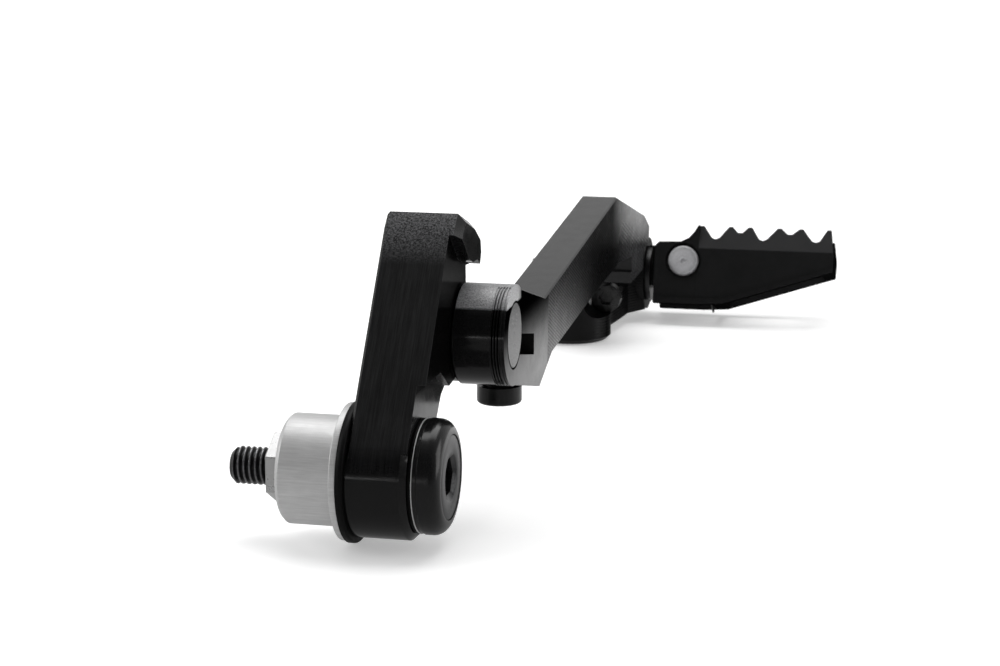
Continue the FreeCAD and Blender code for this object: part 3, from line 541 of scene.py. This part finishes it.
def mesh_object(name, bm):
    mesh = bpy.data.meshes.new(name)
    bm.to_mesh(mesh)
    bm.free()
    made = bpy.data.objects.new(name, mesh)
    scene.collection.objects.link(made)
    return made


# ---------------------------------------------------- pivot screw, in mm along X
SEGMENTS = 72
THREAD_STEPS = 150
PITCH = 1.25
CREST, ROOT = 4.0, 3.28                  # thread radii
THREAD_START, THREAD_END = -9.0, -0.05
TIP_RADIUS = 2.55
SHANK, HEAD = 3.65, 8.8                  # radii
HEAD_BACK, HEAD_FACE = 34.4, 37.9
SOCKET_FLATS = 7.3

# x, radius: waisted shank, head, rounded rim, recess round the socket
BODY = (
    (0.0, 3.3), (0.6, SHANK), (HEAD_BACK, SHANK), (HEAD_BACK, HEAD), (37.62, HEAD),
    (37.82, 8.72), (HEAD_FACE, 8.55), (HEAD_FACE, 5.1), (37.84, 5.0),
)
# x, width across flats, from the socket's mouth inwards
SOCKET = ((37.2, 7.35), (37.1, SOCKET_FLATS), (34.9, SOCKET_FLATS))
SOCKET_FLOOR = ((34.85, 2.9), (34.45, 0.4))    # x, radius


def ring(x, radii):
    points = []
    for i, radius in enumerate(radii):
        angle = 2 * math.pi * i / SEGMENTS
        points.append(Vector((x, radius * math.cos(angle), radius * math.sin(angle))) * MM)
    return points


def circle(x, radius):
    return ring(x, [radius] * SEGMENTS)


def hexagon(x, flats):
    radii = []
    for i in range(SEGMENTS):
        from_flat = math.degrees(2 * math.pi * i / SEGMENTS) % 60.0 - 30.0
        radii.append(flats / 2 / math.cos(math.radians(from_flat)))
    return ring(x, radii)


def thread_ring(x):
    """One section of the helix, with a tapered start and a run-out at the shank."""
    radii = []
    for i in range(SEGMENTS):
        phase = (x / PITCH - i / SEGMENTS) % 1.0
        flank = abs(phase - 0.5) * 2.0           # 1 on the crest line, 0 on the root line
        rise = min(max((flank - 0.16) / 0.68, 0.0), 1.0)
        radius = ROOT + (CREST - ROOT) * rise
        radius = min(radius, 2.95 + (x - THREAD_START) * 0.95)
        if x > THREAD_END - 0.6:
            radius = min(radius, ROOT + 0.1 + (THREAD_END - x) * 1.1)
        radii.append(radius)
    return ring(x, radii)


def skin(name, rings):
    """Joins rings of points into one closed mesh."""
    bm = bmesh.new()
    rows = [[bm.verts.new(point) for point in points] for points in rings]
    for row, following in zip(rows, rows[1:]):
        for i in range(SEGMENTS):
            j = (i + 1) % SEGMENTS
            bm.faces.new((row[i], row[j], following[j], following[i]))
    bm.faces.new(list(reversed(rows[0])))
    bm.faces.new(rows[-1])
    bmesh.ops.recalc_face_normals(bm, faces=bm.faces)
    return mesh_object(name, bm)


def pivot_screw():
    """M8 coarse thread, waisted shank and wide head with a hexagon socket."""
    rings = [circle(THREAD_START, TIP_RADIUS)]
    for k in range(THREAD_STEPS + 1):
        x = THREAD_START + (THREAD_END - THREAD_START) * k / THREAD_STEPS
        rings.append(thread_ring(x))
    rings += [circle(*station) for station in BODY]
    rings += [hexagon(*station) for station in SOCKET]
    rings += [circle(*station) for station in SOCKET_FLOOR]
    screw = skin("pivot_screw_detail", rings)
    shade_smooth(screw.data)
    screw.data.set_sharp_from_angle(angle=math.radians(38))
    screw.data.materials.append(MATERIALS["thread"])
    return screw


screw = pivot_screw()
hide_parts("pivot_screw")
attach(screw, "mount")

# -------------------------------------------------------------------- the stage
low_corner, high_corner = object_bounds()
FLOOR_GAP = 0.00003
FLOOR_HALF = 4.0
FLOOR_GLOW = 0.38


def floor_material():
    m = Mat("pale_floor")
    material = m.finish(m.ramp(m.noise(scale=40, detail=2), to=(0.86, 0.88)), rough=0.55,
                        ior=1.35, tint=(1, 1, 1))
    y = m.xyz()[1]
    rays = m.node("ShaderNodeLightPath").outputs
    # the floor glows, and to the camera it brightens into the distance
    far = m.ramp(y, over=(0.35, 1.3), to=(0.0, 0.5))
    glow = m.lift(FLOOR_GLOW, far, by=rays["Is Camera Ray"])
    emission = m.node("ShaderNodeEmission", {"Color": WHITE, "Strength": glow})
    lit = m.node("ShaderNodeAddShader", {0: m.shader.outputs[0], 1: emission.outputs[0]})
    # a dark card in front of the piece, seen only in reflections
    card = m.node("ShaderNodeEmission", {
        "Color": WHITE, "Strength": m.ramp(y, over=(-3.6, -0.7), to=(1.0, 0.22))})
    in_front = m.ramp(y, over=(-0.02, 0.20), to=(0.9, 0.0))
    mix = m.node("ShaderNodeMixShader", {
        0: m.mul(rays["Is Glossy Ray"], in_front), 1: lit.outputs[0], 2: card.outputs[0]})
    m.put(m.output.inputs[0], mix.outputs[0])
    return material


def floor():
    material = floor_material()
    bm = bmesh.new()
    corners = ((-1, -1), (1, -1), (1, 1), (-1, 1))
    floor_z = low_corner[2] - FLOOR_GAP
    bm.faces.new([bm.verts.new((x * FLOOR_HALF, y * FLOOR_HALF, floor_z))
                  for x, y in corners])
    made = mesh_object("studio_floor", bm)
    made.data.materials.append(material)


def world():
    """White to the camera; otherwise dark towards -Y and bright towards +Y."""
    studio = bpy.data.worlds.new("studio")
    scene.world = studio
    studio.use_nodes = True
    g = Graph(studio.node_tree)
    direction = g.node("ShaderNodeTexCoord").outputs["Generated"]
    y = g.node("ShaderNodeSeparateXYZ", {0: direction}).outputs[1]
    strength = g.ramp(y, over=(-0.60, 0.55), to=(0.02, 0.60))
    room = g.node("ShaderNodeBackground", {"Color": WHITE, "Strength": strength})
    backdrop = g.node("ShaderNodeBackground", {"Color": WHITE, "Strength": 1.0})
    seen = g.node("ShaderNodeLightPath").outputs["Is Camera Ray"]
    mix = g.node("ShaderNodeMixShader", {
        0: seen, 1: room.outputs[0], 2: backdrop.outputs[0]})
    g.node("ShaderNodeOutputWorld", {0: mix.outputs[0]})


floor()
world()

# name, offset from the middle of the piece, width, height (metres), power (watts)
LIGHTS = (
    ("top_softbox", (-0.05, 0.22, 0.75), 0.9, 0.6, 5.5),
    ("left_softbox", (-0.75, -0.25, 0.35), 0.5, 0.6, 2.6),
    ("right_softbox", (0.85, 0.1, 0.25), 0.5, 0.6, 2.2),
    ("front_strip", (-0.15, -0.95, 0.055), 1.1, 0.014, 0.35),
)
middle = Vector([(low + high) / 2 for low, high in zip(low_corner, high_corner)])
for name, offset, width, height, power in LIGHTS:
    light = bpy.data.lights.new(name, "AREA")
    light.energy = power
    light.shape = "RECTANGLE"
    light.size = width
    light.size_y = height
    lamp = bpy.data.objects.new(name, light)
    lamp.location = middle + Vector(offset)
    aim = middle - lamp.location
    lamp.rotation_euler = aim.to_track_quat("-Z", "Y").to_euler()
    scene.collection.objects.link(lamp)


def camera():
    lens = bpy.data.cameras.new("camera")
    made = bpy.data.objects.new("camera", lens)
    scene.collection.objects.link(made)
    lens.sensor_width = 36.0
    lens.lens = 79.2
    right = Vector((0.976, 0.2164, 0.0)).normalized()
    forward = Vector((-0.2116, 0.9546, -0.2096)).normalized()
    up = right.cross(forward).normalized()
    turn = Matrix((right, up, -forward)).transposed().to_4x4()
    place = Vector((142.1, -423.5, 123.8)) * MM
    made.matrix_world = Matrix.Translation(place) @ turn
    lens.clip_start = 0.01
    lens.clip_end = 50.0
    lens.dof.use_dof = True
    lens.dof.focus_distance = 0.452
    lens.dof.aperture_fstop = 80.0
    scene.camera = made


camera()
scene.view_settings.view_transform = "Standard"
scene.view_settings.look = "None"
scene.view_settings.exposure = 0.0
